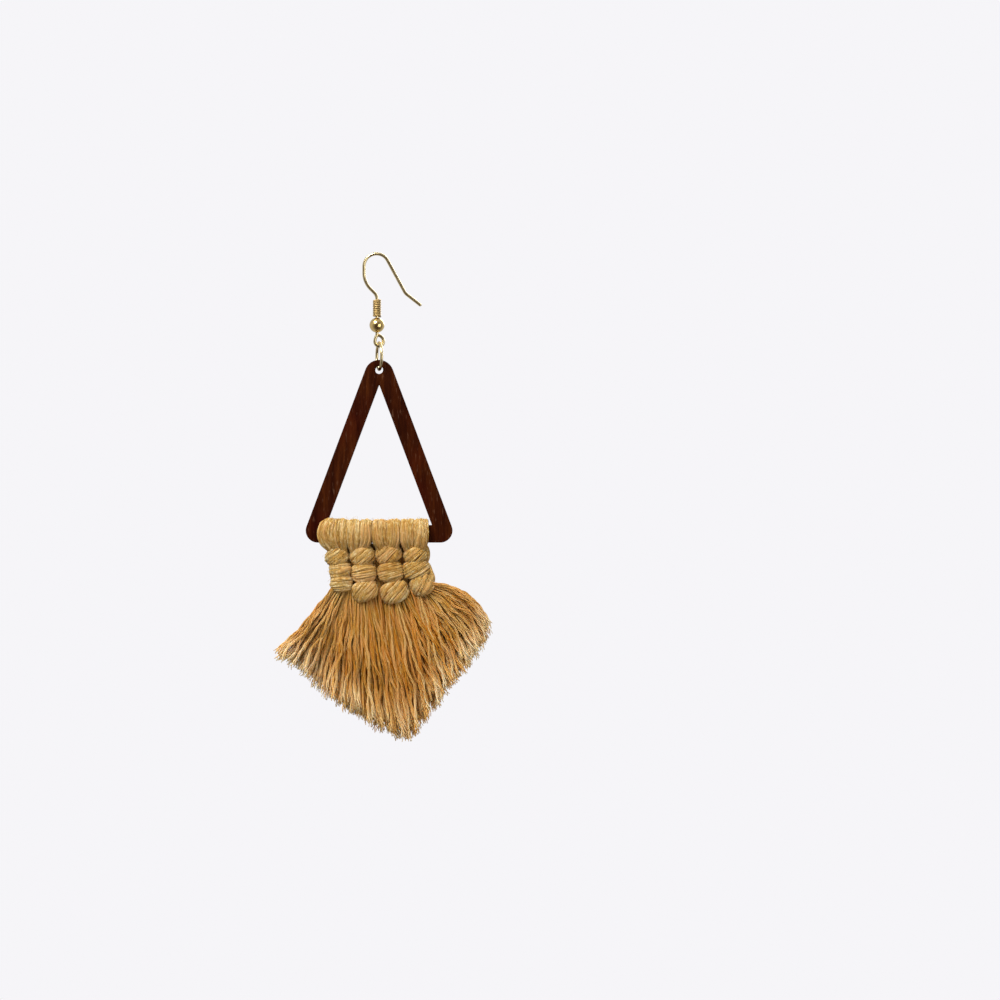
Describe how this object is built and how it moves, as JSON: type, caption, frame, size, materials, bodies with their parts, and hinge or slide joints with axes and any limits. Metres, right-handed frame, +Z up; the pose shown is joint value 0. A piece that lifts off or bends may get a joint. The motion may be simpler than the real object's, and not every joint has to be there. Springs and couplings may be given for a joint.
{
  "type": "tassel_earring",
  "caption": "Macrame drop earring: gold ear wire and jump ring, a dark wooden triangle, and knotted natural cotton cords combed out into a fan of fringe.",
  "frame": {"origin": "Underside of the ear wire's bow at its top, where the wire rests in the pierced ear.", "axes": "+Z up, -Y towards the viewer, +X to the viewer's right in the picture, where the ear wire's back leg points."},
  "size_m": [0.0426, 0.007, 0.0971],
  "materials": {
    "gold_wire": "gold-plated brass wire, smooth",
    "gold_polished": "gold-plated brass ball, polished",
    "dark_wood": "dark stained wood, satin, fine grain along the sides",
    "cotton_cord": "soft single-strand cotton cord, matt",
    "combed_cotton": "combed-out cotton yarn, matt"
  },
  "bodies": {
    "wire": {"ear_wire": "gold_wire", "shank_coil": "gold_wire", "ball": "gold_polished"},
    "ring": {"jump_ring": "gold_wire"},
    "drop": {"triangle_frame": "dark_wood", "cord_1": "cotton_cord", "cord_2": "cotton_cord", "cord_3": "cotton_cord", "cord_4": "cotton_cord", "fringe": "combed_cotton"}
  },
  "joints": [
    {"name": "ring_swing", "type": "hinge", "parent": "wire", "child": "ring", "pos_m": [0.00054, 0, -0.01813], "axis": [0.9781, 0.2079, 0], "range_deg": [-50, 50]},
    {"name": "drop_swing", "type": "hinge", "parent": "ring", "child": "drop", "pos_m": [0.00054, 0, -0.02293], "axis": [0, 1, 0], "range_deg": [-60, 60]}
  ]
}
